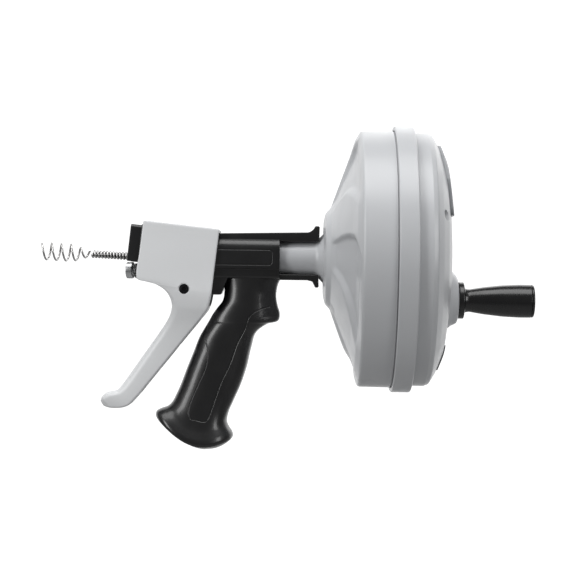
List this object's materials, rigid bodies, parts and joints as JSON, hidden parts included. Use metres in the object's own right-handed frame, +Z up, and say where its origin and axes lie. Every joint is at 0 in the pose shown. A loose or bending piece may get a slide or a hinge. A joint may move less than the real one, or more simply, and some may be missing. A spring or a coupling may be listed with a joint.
{
  "type": "drain snake machine",
  "caption": "Hand-held drain snake: pistol grip with a squeeze trigger that feeds a wound steel cable through skewed rollers, and a spinning cable drum cranked by a knob.",
  "frame": {"origin": "centre of the flat hub face on the back of the drum, on the drum's axis", "axes": "+X along the drum's axis out of its back, the cable's tip pointing to -X; +Z up, with the grip hanging to -Z; +Y to the right of a person who holds the grip and looks along the cable"},
  "size_m": [0.3876, 0.208, 0.2546],
  "materials": {
    "drum_grey": "light cool grey moulded plastic, semi-gloss",
    "trigger_grey": "light grey moulded plastic, satin",
    "body_black": "black moulded plastic, semi-gloss",
    "knob_black": "black moulded plastic, semi-gloss",
    "cable_steel": "wound spring steel wire",
    "roller_chrome": "polished bearing steel",
    "steel": "zinc plated steel",
    "black_steel": "black oxide steel",
    "nylon": "natural nylon",
    "label_grey": "satin grey label"
  },
  "bodies": {
    "handle": {"body_left_shell": "body_black", "body_right_shell": "body_black", "body_screw_1": "black_steel", "body_screw_2": "black_steel", "body_screw_3": "black_steel", "body_screw_4": "black_steel", "body_screw_5": "black_steel", "body_screw_6": "black_steel", "cable_guide": "nylon", "neck_bushing": "nylon", "pivot_pin": "black_steel", "pivot_clip": "steel", "trigger_return_spring": "steel", "lower_roller_pin": "steel"},
    "trigger": {"trigger": "trigger_grey", "roller_carrier": "body_black", "upper_roller_pin_left": "steel", "upper_roller_pin_right": "steel", "carrier_screw_1": "black_steel", "carrier_screw_2": "black_steel"},
    "lower_roller": {"lower_feed_roller": "roller_chrome"},
    "upper_roller_left": {"upper_feed_roller_left": "roller_chrome"},
    "upper_roller_right": {"upper_feed_roller_right": "roller_chrome"},
    "drum": {"drum_front_shell": "drum_grey", "drum_back_shell": "drum_grey", "drum_screw_1": "black_steel", "drum_screw_2": "black_steel", "drum_screw_3": "black_steel", "label_plate_top": "label_grey", "label_plate_bottom": "label_grey", "neck_retaining_ring": "steel", "cable_coil": "cable_steel", "cable_lead_in": "cable_steel", "cable_anchor_clip": "steel", "anchor_screw": "steel", "knob_spindle": "steel", "spindle_washer": "steel", "spindle_nut": "steel", "head_washer": "steel"},
    "knob": {"knob": "knob_black", "knob_end_cap": "knob_black"},
    "cable": {"cable_run": "cable_steel", "cable_bulb": "cable_steel"}
  },
  "joints": [
    {"name": "drum_spin", "type": "hinge", "parent": "handle", "child": "drum", "pos_m": [-0.15, 0, 0], "axis": [1, 0, 0], "continuous": true},
    {"name": "knob_spin", "type": "hinge", "parent": "drum", "child": "knob", "pos_m": [0.03, 0, -0.0315], "axis": [1, 0, 0], "continuous": true},
    {"name": "cable_feed", "type": "slide", "parent": "drum", "child": "cable", "axis": [-1, 0, 0], "range_m": [-0.02, 0.1]},
    {"name": "trigger_squeeze", "type": "hinge", "parent": "handle", "child": "trigger", "pos_m": [-0.2072, 0, -0.0251], "axis": [0, -1, 0], "range_deg": [0, 6], "stiffness_Nm_per_rad": 1.5, "springref_deg": -8.59},
    {"name": "lower_roller_spin", "type": "hinge", "parent": "handle", "child": "lower_roller", "pos_m": [-0.2506, 0, -0.011], "axis": [0.9848, -0.1736, 0], "continuous": true},
    {"name": "upper_roller_left_spin", "type": "hinge", "parent": "trigger", "child": "upper_roller_left", "pos_m": [-0.24722, -0.00857, 0.00932], "axis": [0.9951, 0.0868, 0.0466], "continuous": true},
    {"name": "upper_roller_right_spin", "type": "hinge", "parent": "trigger", "child": "upper_roller_right", "pos_m": [-0.24722, 0.00857, 0.00932], "axis": [0.9637, 0.0868, -0.2525], "continuous": true}
  ]
}
